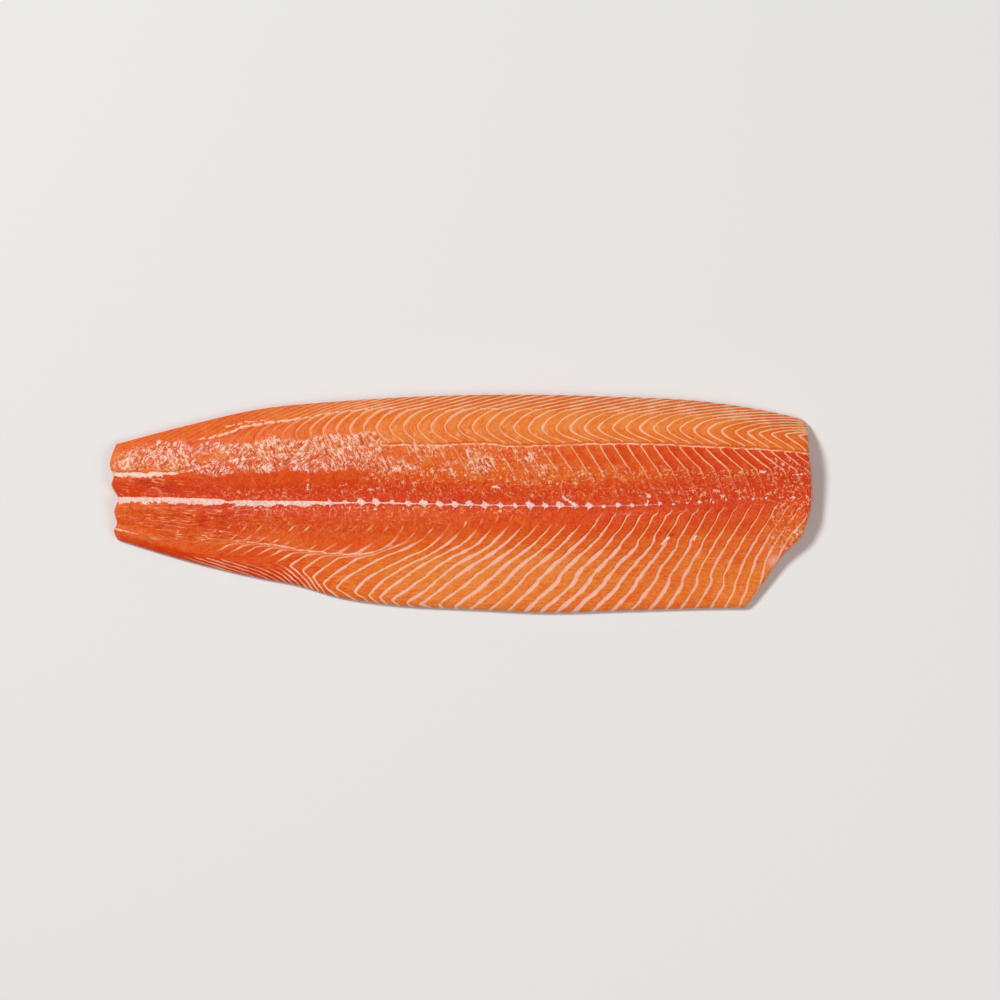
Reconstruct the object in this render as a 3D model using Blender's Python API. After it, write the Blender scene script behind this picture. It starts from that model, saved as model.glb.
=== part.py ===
"""Raw salmon fillet: one whole trimmed side of the fish, flesh side up, lying flat.

Metres, +Z up. +X runs to the head end, +Y to the back edge. The origin is under the middle of the
fillet's outline, on the flat underside that it rests on. Lengths in the tables are in millimetres.
"""

import bmesh
import bpy
import numpy as np

MM = 0.001

# Outline from above: (x, y) along each long edge, from tail to head. The last belly point lies
# past the slanting head cut, and only carries the edge's line on.
BACK_EDGE = [(-281, 45.6), (-225, 60.4), (-161, 74.8), (-97, 81.0), (-1, 85.8), (111, 85.0),
             (207, 79.2), (262, 69.4), (281, 64.5)]
BELLY_EDGE = [(-281, -28.2), (-225, -45.2), (-161, -60.6), (-137, -65.0), (-97, -76.2),
              (-65, -80.9), (15, -85.8), (65, -88.0), (128, -86.4), (205, -84.4), (281, -84.0)]
# The line that the backbone left, from tail to head.
SPINE_LINE = [(-281, 2.4), (-190, 2.4), (-77, 0.0), (111, -3.0), (183, -0.4), (281, 4.6)]

# Where each end is cut: (share of the way from back edge to belly edge, x).
TAIL_CUT = [(0.0, -277.0), (0.1, -280.2), (0.24, -281.2), (0.325, -278.6), (0.42, -280.2),
            (0.577, -275.0), (0.7, -278.0), (0.835, -276.4), (0.92, -278.4), (1.0, -276.0)]
HEAD_CUT = [(0.0, 272.5), (0.02, 275.6), (0.055, 276.6), (0.15, 277.4), (0.25, 278.8),
            (0.375, 280.4), (0.46, 279.4), (0.56, 275.6), (0.615, 272.6), (0.73, 256.8),
            (0.91, 237.8), (1.0, 227.0)]

# Thickness along the length: (x, height).
LOIN = [(-281, 12.0), (-225, 15.5), (-140, 20.5), (-40, 25.0), (80, 27.5), (180, 28.0), (281, 26.5)]
SPINE_DIP = [(-281, 1.5), (-140, 4.5), (0, 6.5), (180, 6.5), (281, 5.5)]
BELLY = [(-281, 9.0), (-140, 9.5), (0, 9.5), (281, 9.0)]
EDGE_RIM = 4.0          # height of the widest line of the long edges
FLANK_WIDTH = 30.0      # how far in from the back edge the flank rises
BELLY_ROUND = 9.0       # how far in from the belly edge its rounding reaches
END_ROUND = 3.0         # rounding of the two cut ends' upper rims
END_RIM_SHARE = 0.25    # and the most of the height that it takes where the flesh is thin
FOOT_INSET = 1.6        # how far the flat underside stays in from the widest line
FOOT_HEIGHT = 1.5       # height at which the sides start to turn under

# The grooves that run in from the tail's notches: (share across, depth, half width).
TAIL_GROOVES = [(0.325, 1.6, 2.5), (0.577, 1.8, 3.0), (0.835, 1.4, 2.5)]
TAIL_GROOVE_LENGTH = 45.0

LENGTH_STEPS = 72
WIDTH_STEPS = 30

FLESH_COLOR = (0.75, 0.19, 0.055, 1.0)
FLESH_ROUGHNESS = 0.35


def curve_through(points, at):
    """Smooth curve through (place, value) points, read at each place in at."""
    place, value = np.array(points, float).T
    slope = np.gradient(value, place)
    at = np.clip(at, place[0], place[-1])
    i = np.clip(np.searchsorted(place, at) - 1, 0, len(place) - 2)
    step = place[i + 1] - place[i]
    t = (at - place[i]) / step
    return (value[i] * (1 + 2 * t) * (1 - t) ** 2 + slope[i] * step * t * (1 - t) ** 2
            + value[i + 1] * t * t * (3 - 2 * t) + slope[i + 1] * step * t * t * (t - 1))


def ease(t):
    """Runs smoothly from 0 to 1."""
    t = np.clip(t, 0, 1)
    return t * t * (3 - 2 * t)


def rounding(distance, reach):
    """A quarter ellipse: 0 at an edge, 1 from reach inwards."""
    return np.sqrt(1 - (1 - np.clip(distance / reach, 0, 1)) ** 2)


def spread(steps, ends):
    """Shares from 0 to 1, with the given closer ones at both ends."""
    middle = np.linspace(ends[-1], 1 - ends[-1], steps - 2 * (len(ends) - 1) + 1)
    return np.concatenate([ends[:-1], middle, [1 - e for e in ends[:-1]][::-1]])


def plan(along, across):
    """Where a point lies in plan; along and across run from 0 to 1, from the tail and the back edge."""
    tail, head = curve_through(TAIL_CUT, across), curve_through(HEAD_CUT, across)
    x = tail + (head - tail) * along
    back, belly = curve_through(BACK_EDGE, x), curve_through(BELLY_EDGE, x)
    return x, back + (belly - back) * across


def top_height(x, y, along, across):
    """Height of the upper face."""
    back, belly_edge = curve_through(BACK_EDGE, x), curve_through(BELLY_EDGE, x)
    spine = curve_through(SPINE_LINE, x)
    loin, dip = curve_through(LOIN, x), curve_through(SPINE_DIP, x)
    over = np.clip((back - y) / (back - spine), 0, 1)
    under = np.clip((spine - y) / (spine - belly_edge), 0, 1)

    flank = 1 - (1 - np.clip((back - y) / FLANK_WIDTH, 0, 1)) ** 2.4
    dorsal = EDGE_RIM + (loin - EDGE_RIM) * flank - dip * ease((over - 0.5) / 0.5)

    low = curve_through(BELLY, x)
    ridge = 1.2 * np.sin(np.pi * np.clip(under / 0.35, 0, 1)) ** 2
    ventral = loin - dip + ridge + (low - loin + dip) * ease(under) ** 1.1
    ventral = EDGE_RIM + (ventral - EDGE_RIM) * rounding(y - belly_edge, BELLY_ROUND)
    height = np.where(y > spine, dorsal, ventral)

    width = back - belly_edge
    from_tail = along * (curve_through(HEAD_CUT, across) - curve_through(TAIL_CUT, across))
    for share, depth, half in TAIL_GROOVES:
        away = (across - share) * width / half
        height -= depth * np.exp(-away ** 2) * (1 - ease(from_tail / TAIL_GROOVE_LENGTH))

    to_end = np.minimum(along, 1 - along) * (x.max() - x.min())
    rim_drop = np.minimum(END_ROUND, END_RIM_SHARE * height)
    return height - rim_drop * (1 - rounding(to_end, END_ROUND))


def upper_face(bm):
    """The grid of vertices over the top, one row for each share along the length."""
    end_steps = [0.0, 0.0015, 0.004, 0.009]
    edge_steps = [0.0, 0.008, 0.022, 0.045]
    along, across = np.meshgrid(spread(LENGTH_STEPS, end_steps), spread(WIDTH_STEPS, edge_steps),
                                indexing="ij")
    x, y = plan(along, across)
    z = top_height(x, y, along, across)
    x = x - (x.max() + x.min()) / 2
    y = y - (y.max() + y.min()) / 2
    places = np.stack([x, y, z], axis=2) * MM
    return [[bm.verts.new(place) for place in row] for row in places]


def outline(grid):
    """The grid's border as one closed loop, anticlockwise from above."""
    back = [row[0] for row in grid]
    belly = [row[-1] for row in grid]
    return belly + grid[-1][-2:0:-1] + back[::-1] + grid[0][1:-1]


def lower_ring(bm, loop, height, inset):
    """A copy of the outline at one height, drawn in from the sides."""
    ring = []
    for i, vert in enumerate(loop):
        before, after = loop[i - 1].co, loop[(i + 1) % len(loop)].co
        run = (after - before).xy.normalized()
        ring.append(bm.verts.new((vert.co.x - run.y * inset, vert.co.y + run.x * inset, height)))
    return ring


def wall(bm, upper, lower):
    """The strip of faces between two rings."""
    for i in range(len(upper)):
        bm.faces.new((upper[i - 1], lower[i - 1], lower[i], upper[i]))


def fillet():
    """The whole side of salmon, one closed solid."""
    bm = bmesh.new()
    grid = upper_face(bm)
    for row, following in zip(grid, grid[1:]):
        for i in range(len(row) - 1):
            bm.faces.new((row[i], row[i + 1], following[i + 1], following[i]))
    border = outline(grid)
    side = lower_ring(bm, border, FOOT_HEIGHT * MM, 0.0)
    foot = lower_ring(bm, border, 0.0, FOOT_INSET * MM)
    wall(bm, border, side)
    wall(bm, side, foot)
    bm.faces.new(foot[::-1])
    bmesh.ops.triangulate(bm, faces=[face for face in bm.faces if len(face.verts) > 3])
    bmesh.ops.recalc_face_normals(bm, faces=bm.faces)

    mesh = bpy.data.meshes.new("fillet")
    bm.to_mesh(mesh)
    bm.free()
    mesh.shade_smooth()
    mesh.materials.append(flesh())
    piece = bpy.data.objects.new("fillet", mesh)
    bpy.context.scene.collection.objects.link(piece)
    return piece


def flesh():
    """Wet raw salmon flesh."""
    material = bpy.data.materials.new("flesh")
    material.use_nodes = True
    shader = material.node_tree.nodes["Principled BSDF"]
    shader.inputs["Base Color"].default_value = FLESH_COLOR
    shader.inputs["Roughness"].default_value = FLESH_ROUGHNESS
    shader.inputs["Metallic"].default_value = 0.0
    return material


def main():
    for thing in list(bpy.data.objects):
        bpy.data.objects.remove(thing)
    fillet()


main()
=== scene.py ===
import bpy
import numpy as np
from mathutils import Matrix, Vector


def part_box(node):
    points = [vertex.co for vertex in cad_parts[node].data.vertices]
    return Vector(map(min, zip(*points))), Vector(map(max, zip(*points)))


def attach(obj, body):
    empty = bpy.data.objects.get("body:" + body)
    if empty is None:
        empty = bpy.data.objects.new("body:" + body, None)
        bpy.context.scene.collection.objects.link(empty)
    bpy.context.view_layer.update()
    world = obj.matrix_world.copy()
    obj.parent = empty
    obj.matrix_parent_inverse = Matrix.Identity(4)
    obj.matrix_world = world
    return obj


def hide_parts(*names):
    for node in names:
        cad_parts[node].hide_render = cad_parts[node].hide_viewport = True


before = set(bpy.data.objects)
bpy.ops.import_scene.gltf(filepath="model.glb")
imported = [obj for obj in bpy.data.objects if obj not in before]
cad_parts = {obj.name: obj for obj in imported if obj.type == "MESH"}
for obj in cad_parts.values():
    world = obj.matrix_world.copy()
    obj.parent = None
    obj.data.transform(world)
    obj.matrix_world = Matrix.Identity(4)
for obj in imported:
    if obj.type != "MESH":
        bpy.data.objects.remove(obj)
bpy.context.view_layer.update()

# The side of salmon in millimetres: x from tail to head, y from the belly edge to the back edge,
# z up from the underside.
side = {
    "backEdge": [(-281, 45.6), (-225, 60.4), (-161, 74.8), (-97, 81.0), (-1, 85.8), (111, 85.0),
                 (207, 79.2), (262, 69.4), (281, 64.5)],
    "bellyEdge": [(-281, -28.2), (-225, -45.2), (-161, -60.6), (-137, -65.0), (-97, -76.2),
                  (-65, -80.9), (15, -85.8), (65, -88.0), (128, -86.4), (205, -84.4), (281, -84.0)],
    # the cut ends: share of the way from back edge to belly edge, x
    "tailCut": [(0.0, -277.0), (0.1, -280.2), (0.24, -281.2), (0.325, -278.6), (0.42, -280.2),
                (0.577, -275.0), (0.7, -278.0), (0.835, -276.4), (0.92, -278.4), (1.0, -276.0)],
    "headCut": [(0.0, 272.5), (0.02, 275.6), (0.055, 276.6), (0.15, 277.4), (0.25, 278.8),
                (0.375, 280.4), (0.46, 279.4), (0.56, 275.6), (0.615, 272.6), (0.73, 256.8),
                (0.91, 237.8), (1.0, 227.0)],
    # seams that run the whole length
    "backSeam": [(-281, 38), (-230, 47), (-197, 53), (-171, 61), (-137, 66), (-89, 73.5),
                 (-13, 74.6), (111, 73.5), (177, 71.0), (233, 65.0), (281, 57.0)],
    "chevronTip": [(-281, 31), (-200, 45), (-140, 56), (-89, 59.6), (79, 59.8), (165, 59.6),
                   (219, 56.5), (281, 53.0)],
    "midSeam": [(-281, 22.6), (-241, 22.6), (-225, 24), (-197, 31.3), (-169, 35.6), (-137, 38.6),
                (-109, 41.2), (-89, 44.0), (-13, 45.8), (18, 46.8), (30, 45.5), (63, 45.0),
                (91, 46.2), (150, 46.5), (191, 44.6), (257, 40.9), (281, 38.4)],
    "spineLine": [(-281, 2.6), (-240, 2.0), (-205, 0.8), (-150, -0.4), (-77, -0.2), (31, -2.2),
                  (111, -2.8), (149, -1.8), (183, -0.4), (223, 2.4), (281, 4.6)],
    "bellySeam": [(-281, -20), (-241, -29), (-184, -30.5), (-153, -33.4), (-125, -38.2),
                  (-69, -38.8), (-49, -32.4), (-9, -22.8), (71, -10.8), (111, -6), (281, 4)],
    "bellyTip": [(-281, -32), (-230, -41), (-180, -46), (-155, -47.5), (-140, -50), (-125, -55.6),
                 (-110, -65.4), (-90, -70.8), (-69, -75.6), (-45, -80.2), (-17, -82), (10, -86),
                 (60, -95), (281, -95)],
    # thickness along the length
    "loin": [(-281, 12.0), (-225, 15.5), (-140, 20.5), (-40, 25.0), (80, 27.5), (180, 28.0),
             (281, 26.5)],
    "spineDip": [(-281, 1.5), (-140, 4.5), (0, 6.5), (180, 6.5), (281, 5.5)],
    "belly": [(-281, 9.0), (-140, 9.5), (0, 9.5), (281, 9.0)],
    "edgeRim": 4.0,
    "flankWidth": 30.0,
    "bellyRound": 9.0,
    "endRound": 3.0,
    "endRimShare": 0.25,
    "tailGrooves": [(0.325, 1.6, 2.5), (0.577, 1.8, 3.0), (0.835, 1.4, 2.5)],
    "tailGrooveLength": 45.0,
    "flankPower": 2.4,
    "bellyPower": 1.1,
    "bellyRidge": 1.2,
    "bellyRidgeReach": 0.35,
    # the sides turn under
    "footInset": 1.8,
    "footRound": 3.2,
    "sideSag": 0.5,
    "sideWaver": 0.28,
    "cutSideFrom": 6.005,    # sides taller than this are cut faces
    "reliefFade": 4,
    # the underside waves a little; it starts this share in from the ends and the edges
    "undersideWaver": 0.35,
    "undersideInset": (0.008, 0.03),
    "undersideFade": (4, 20),
    # the mesh: steps, and how much closer they lie at both ends
    "roughSize": (560, 160),
    "stepsAlong": (480, 0.21),
    "stepsAcross": (156, 0.405),
    "undersideEvery": 4,
    "wallRows": 8,
    "footRows": 4,
}

# The fat lines are the levels of one smooth field. Each sheet of fat starts at a joint of the
# backbone and swings tailwards on its way out to the edges.
fatSheets = {
    # along the spine line: x, number of the joint
    "joints": [(-281, -14.2), (-105, 0), (-17.4, 7), (55.4, 13), (114.2, 18), (169.8, 23),
               (222.6, 28), (281, 33.4)],
    # below the spine line: how far a sheet has swung at each drop, by the x of its joint
    "drops": [0, 16, 32, 48, 64, 80, 96],
    "bellySwing": {-281: [0, 4, 18, 44, 60, 70, 80], -105: [0, 2.5, 22, 50, 66, 78, 90],
                   -67: [0, 2.5, 19, 43.5, 63, 76, 88], -42: [0, 2.5, 14, 37, 61, 73, 84],
                   -17: [0, 3, 17, 37, 54, 66, 78], 19: [0, 4, 19.5, 48.5, 65, 77, 88],
                   55: [0, 6, 22.5, 46.5, 67.5, 88, 106], 91: [0, 6.5, 23.5, 43, 60, 80.5, 98],
                   125: [0, 7, 22.5, 39.5, 55, 71, 88], 159: [0, 6.3, 19, 33.8, 48.3, 66.5, 83],
                   200: [0, 6.8, 17, 28.6, 39.3, 51.5, 65], 250: [0, 7.4, 17.8, 26.8, 33.5, 43, 53],
                   281: [0, 9, 23, 33, 37, 43, 48]},
    # how far the sheets lie flat along the belly seam, and how fast they come back past their tips
    "seamLean": [(-281, 20), (-90, 20), (-75, 18), (-60, 14), (-45, 6), (-30, 0), (281, 0)],
    "bellyReturn": [(-281, 4.4), (-160, 4.2), (-146, 3.6), (-134, 2.8), (-122, 2.4), (-60, 2.2),
                    (0, 1.2), (281, 0.8)],
    # above it: the swing half way to the mid seam, at the mid seam, at the chevron's tip, at the back
    # seam and at the back edge; the sheets lie flat along the mid seam for a short way
    "lobeSwing": [(-281, 13), (110, 15), (156, 13.8), (200, 10.6), (247, 8), (281, 10)],
    "midSwing": [(-281, 24), (0, 27.5), (40, 28.5), (110, 27.5), (156, 27.5), (195, 29), (246, 30.3),
                 (281, 36)],
    "tipSwing": [(-281, -6), (-120, 17), (-90, 21.8), (-56, 27.6), (-13, 33.4), (30, 37), (99, 38.8),
                 (165, 38.0), (221, 37.0), (245, 40.2), (281, 39)],
    "backSwing": [(-281, -27), (-120, -4.5), (-56, 6.5), (-13, 12.4), (30, 16), (99, 15), (165, 13.4),
                  (221, 11.5), (281, 12.5)],
    "edgeSwing": 48,
    "midFlat": [(-281, 3.5), (-190, 5), (-150, 15), (-120, 19), (-90, 17.5), (-60, 14.5), (-13, 12),
                (30, 12), (60, 13), (120, 14), (281, 16)],
    # how the stretches between them are shared out: place, swing
    "tipShape": [(0, 0), (0.2, 0.26), (0.4, 0.57), (0.6, 0.8), (0.8, 0.95), (1, 1)],
    "backShape": [(0, 0), (0.28, 0.14), (0.5, 0.28), (0.66, 0.45), (0.9, 0.74), (1, 1)],
    "depthSwing": 0.75,
    # how far below the spine line the sheets begin to show, past the belly seam's end
    "bellyStart": [(-50, -30), (-10, -22), (30, -17), (60, -15.5), (100, -15), (114, -6), (281, -5)],
    # how they waver: amount, size, seed; and kink along two lines of the belly: y, amount, seed
    "wavers": [(0.5, 21, 3), (0.3, 6.5, 4)],
    "kinks": [(-30, 0.9, 5), (-63, 1.4, 6)],
    "kinkWidth": 2.4,
    # joints past the first and the last one are this far apart
    "endPitches": (12.6, 10.8),
    "fieldReach": (290.0, 98.0),
    "fieldSteps": (1.0, 0.5),
}


def curveThrough(points, at):
    # smooth curve through (place, value) points
    place, value = np.array(points, float).T
    slope = np.gradient(value, place)
    at = np.clip(at, place[0], place[-1])
    i = np.clip(np.searchsorted(place, at) - 1, 0, len(place) - 2)
    step = place[i + 1] - place[i]
    t = (at - place[i]) / step
    return (value[i] * (1 + 2 * t) * (1 - t) ** 2 + slope[i] * step * t * (1 - t) ** 2
            + value[i + 1] * t * t * (3 - 2 * t) + slope[i + 1] * step * t * t * (t - 1))


def straightThrough(points, at):
    place, value = np.array(points, float).T
    return np.interp(at, place, value)


def sideLine(name, x):
    return curveThrough(side[name], x)


def sideLines(x, *names):
    return [sideLine(name, x) for name in names]


def ease(t):
    t = np.clip(t, 0, 1)
    return t * t * (3 - 2 * t)


def between(value, start, end):
    # 0 up to start and 1 from end on, where end may be the lower one
    return ease((value - start) / (end - start))


def bell(value, middle, half):
    return np.exp(-((value - middle) / half) ** 2)


def quarterRound(distance, reach):
    return np.sqrt(1 - (1 - np.clip(distance / reach, 0, 1)) ** 2)


def softNoise(x, y, size, seed):
    # smooth noise from -1 to 1, with lumps about size across
    lattice = np.random.default_rng(seed).uniform(-1, 1, (512, 512))
    u, v = np.asarray(x) / size + 137.3, np.asarray(y) / size + 71.9
    i, j = np.floor(u).astype(int), np.floor(v).astype(int)
    s, t = ease(u - i), ease(v - j)
    near = lattice[i % 512, j % 512] * (1 - s) + lattice[(i + 1) % 512, j % 512] * s
    far = lattice[i % 512, (j + 1) % 512] * (1 - s) + lattice[(i + 1) % 512, (j + 1) % 512] * s
    return near * (1 - t) + far * t


def bellySwing(jointX, drop):
    places = sorted(fatSheets["bellySwing"])
    rows = [curveThrough(list(zip(fatSheets["drops"], fatSheets["bellySwing"][x])), drop)
            for x in places]
    swing = rows[0]
    for i in range(1, len(places)):
        share = np.clip((jointX - places[i - 1]) / (places[i] - places[i - 1]), 0, 1)
        swing = swing * (1 - share) + rows[i] * share
    return swing


def backSwing(x, y):
    spine, mid, tip, back, edge = sideLines(
        x, "spineLine", "midSeam", "chevronTip", "backSeam", "backEdge")
    atLobe, atMid, atTip, atBack = (
        curveThrough(fatSheets[n], x) for n in ("lobeSwing", "midSwing", "tipSwing", "backSwing"))
    half = spine + 0.6 * (mid - spine)
    swing = atLobe * np.clip((y - spine) / (half - spine), 0, 1)
    swing = swing + (atMid - atLobe) * np.clip((y - half) / (mid - half), 0, 1)
    flat = straightThrough(fatSheets["midFlat"], x)
    swing = swing - flat * between(y, mid - 0.5, mid + 1.5)
    # towards the head the chevrons are straighter and their tips sharper
    straight = 0.75 * between(x, 190, 245)
    for name, low, high, growth in (("tipShape", mid, tip, atTip - atMid + flat),
                                    ("backShape", tip, back, atBack - atTip)):
        share = np.clip((y - low) / (high - low), 0, 1)
        shape = straightThrough(fatSheets[name], share) * (1 - straight) + share * straight
        swing = swing + growth * shape
    return swing - fatSheets["edgeSwing"] * np.clip((y - back) / (edge - back), 0, 1.3)


def buildField():
    # the field of the fat sheets, worked out once on a grid of points
    (reachX, reachY), (stepX, stepY) = fatSheets["fieldReach"], fatSheets["fieldSteps"]
    x, y = np.meshgrid(np.arange(-reachX, reachX + stepX / 2, stepX),
                       np.arange(-reachY, reachY + stepY / 2, stepY), indexing="ij")
    spine, tip, seam = sideLines(x, "spineLine", "bellyTip", "bellySeam")
    past = np.maximum(0, tip - y)
    drop = np.clip(spine - y - past, 0, fatSheets["drops"][-1])
    jointX = x.copy()
    for _ in range(24):
        jointX = 0.4 * jointX + 0.6 * (x + bellySwing(np.clip(jointX, -281, 281), drop))
    swing = jointX - x - curveThrough(fatSheets["bellyReturn"], x) * past
    # near the belly seam of the tail half the sheets lie flat against it
    lean = straightThrough(fatSheets["seamLean"], x) * between(seam - y, -0.5, 3)
    swing = swing + lean * (y < spine)
    swing = np.where(y >= spine, backSwing(x, y), swing)
    for amount, size, seed in fatSheets["wavers"]:
        swing = swing + amount * softNoise(x, y, size, seed) * between(abs(y - spine), 4, 20)
    for level, size, seed in fatSheets["kinks"]:
        wave = level + 5 * softNoise(x, 0 * y, 23, seed)
        size = size * (0.6 + 0.7 * softNoise(x, 0 * y, 31, seed + 2)) * (1 + 0.9 * between(x, 110, 160))
        size = size * (0.25 + 0.75 * between(x, -50, 30))
        swing = swing + size * np.tanh((y - wave) / fatSheets["kinkWidth"]) * (y < spine - 8)
    joint = curveThrough(fatSheets["joints"], x + swing)
    low, high = fatSheets["joints"][0][0], fatSheets["joints"][-1][0]
    tailPitch, headPitch = fatSheets["endPitches"]
    joint = joint + np.minimum(0, x + swing - low) / tailPitch
    joint = joint + np.maximum(0, x + swing - high) / headPitch
    for _ in range(4):
        joint[:, 1:-1] = (joint[:, :-2] + 2 * joint[:, 1:-1] + joint[:, 2:]) / 4
    slopeX, slopeY = np.gradient(joint, stepX, stepY)
    return joint, np.hypot(slopeX, slopeY)


fieldJoint, fieldSlope = buildField()


def readField(field, x, y):
    u, v = (np.clip((value + reach) / step, 0, 2 * reach / step - 0.1)
            for value, reach, step in zip((x, y), fatSheets["fieldReach"], fatSheets["fieldSteps"]))
    i, j = u.astype(int), v.astype(int)
    s, t = u - i, v - j
    return ((field[i, j] * (1 - s) + field[i + 1, j] * s) * (1 - t)
            + (field[i, j + 1] * (1 - s) + field[i + 1, j + 1] * s) * t)


print("fat sheets laid out")


def cutLines(widthShare):
    return curveThrough(side["tailCut"], widthShare), curveThrough(side["headCut"], widthShare)


def plan(lengthShare, widthShare):
    tail, head = cutLines(widthShare)
    x = tail + (head - tail) * lengthShare
    back, belly = sideLines(x, "backEdge", "bellyEdge")
    return x, back + (belly - back) * widthShare


def crossSection(x, y, ridge):
    # heights of the back half and of the belly half, before the rims are rounded
    back, belly, spine, loin, dip, low = sideLines(
        x, "backEdge", "bellyEdge", "spineLine", "loin", "spineDip", "belly")
    over = np.clip((back - y) / (back - spine), 0, 1)
    under = np.clip((spine - y) / (spine - belly), 0, 1)
    flank = 1 - (1 - np.clip((back - y) / side["flankWidth"], 0, 1)) ** side["flankPower"]
    dorsal = side["edgeRim"] + (loin - side["edgeRim"]) * flank - dip * ease((over - 0.5) / 0.5)
    bulge = ridge * np.sin(np.pi * np.clip(under / side["bellyRidgeReach"], 0, 1)) ** 2
    ventral = loin - dip + bulge + (low - loin + dip) * ease(under) ** side["bellyPower"]
    return dorsal, ventral


def broadHeight(x, y, lengthShare, widthShare):
    # the same upper face as the solid's
    back, belly, spine = sideLines(x, "backEdge", "bellyEdge", "spineLine")
    dorsal, ventral = crossSection(x, y, side["bellyRidge"])
    ventral = side["edgeRim"] + (ventral - side["edgeRim"]) * quarterRound(y - belly, side["bellyRound"])
    height = np.where(y > spine, dorsal, ventral)
    tail, head = cutLines(widthShare)
    for share, depth, half in side["tailGrooves"]:
        away = (widthShare - share) * (back - belly) / half
        run = 1 - ease(lengthShare * (head - tail) / side["tailGrooveLength"])
        height = height - depth * np.exp(-away ** 2) * run
    toEnd = np.minimum(lengthShare, 1 - lengthShare) * (x.max() - x.min())
    rimDrop = np.minimum(side["endRound"], side["endRimShare"] * height)
    return height - rimDrop * (1 - quarterRound(toEnd, side["endRound"]))


def topAt(x, y):
    # the broad height over any point, without the ridge and the rounded rims
    return np.where(y > sideLine("spineLine", x), *crossSection(x, y, 0))


# how red or how orange the flesh is, from 0 deep red to 1 pale orange: place along the side, tone
tones = {
    "strip": [(-262, 0.50), (-182, 0.57), (-102, 0.75), (98, 0.83), (218, 0.90), (258, 0.74)],
    "upperChevron": [(-262, 0.62), (-202, 0.44), (-142, 0.50), (-102, 0.70), (-22, 0.84), (98, 0.94),
                     (178, 0.94), (258, 0.68)],
    "lowerChevron": [(-262, 0.68), (-142, 0.68), (-22, 0.84), (98, 0.80), (178, 0.74), (258, 0.66)],
    "topOfLobe": [(-262, 0.27), (-222, 0.27), (-182, 0.55), (-102, 0.56), (18, 0.58), (98, 0.51),
                  (178, 0.32), (258, 0.14)],
    "middleOfLobe": [(-262, 0.14), (-222, 0.05), (-182, 0.24), (-102, 0.30), (-62, 0.46), (18, 0.57),
                     (98, 0.56), (178, 0.35), (258, 0.18)],
    "redBand": [(-262, 0.10), (-142, 0.02), (-22, 0.08), (98, 0.18), (178, 0.08), (258, 0.07)],
    "underSpine": [(-275, 0.6), (-255, 0.44), (-222, 0.36), (-182, 0.06), (-102, 0.13), (-62, 0.30),
                   (98, 0.18), (178, 0.05), (258, 0.16)],
    "redBelly": [(-262, 0.34), (-220, 0.28), (-182, 0.21), (-62, 0.30), (98, 0.31), (218, 0.34),
                 (258, 0.40)],
    "topOfBelly": [(-262, 0.52), (-222, 0.42), (-142, 0.44), (-82, 0.36), (-22, 0.50), (18, 0.62),
                   (178, 0.61), (218, 0.58), (258, 0.62)],
    "middleOfBelly": [(-222, 0.28), (-182, 0.20), (-142, 0.32), (-102, 0.60), (-62, 0.76), (18, 0.92),
                      (98, 0.86), (178, 0.76), (218, 0.68)],
    "lowBelly": [(-182, 0.16), (-142, 0.24), (-102, 0.66), (-62, 0.84), (-22, 0.92), (58, 0.92),
                 (98, 0.85), (138, 0.76), (218, 0.82)],
    "bellyEdge": [(-142, 0.15), (-102, 0.55), (-62, 0.78), (18, 0.92), (98, 0.76), (178, 0.74),
                  (218, 0.84)],
}

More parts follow.
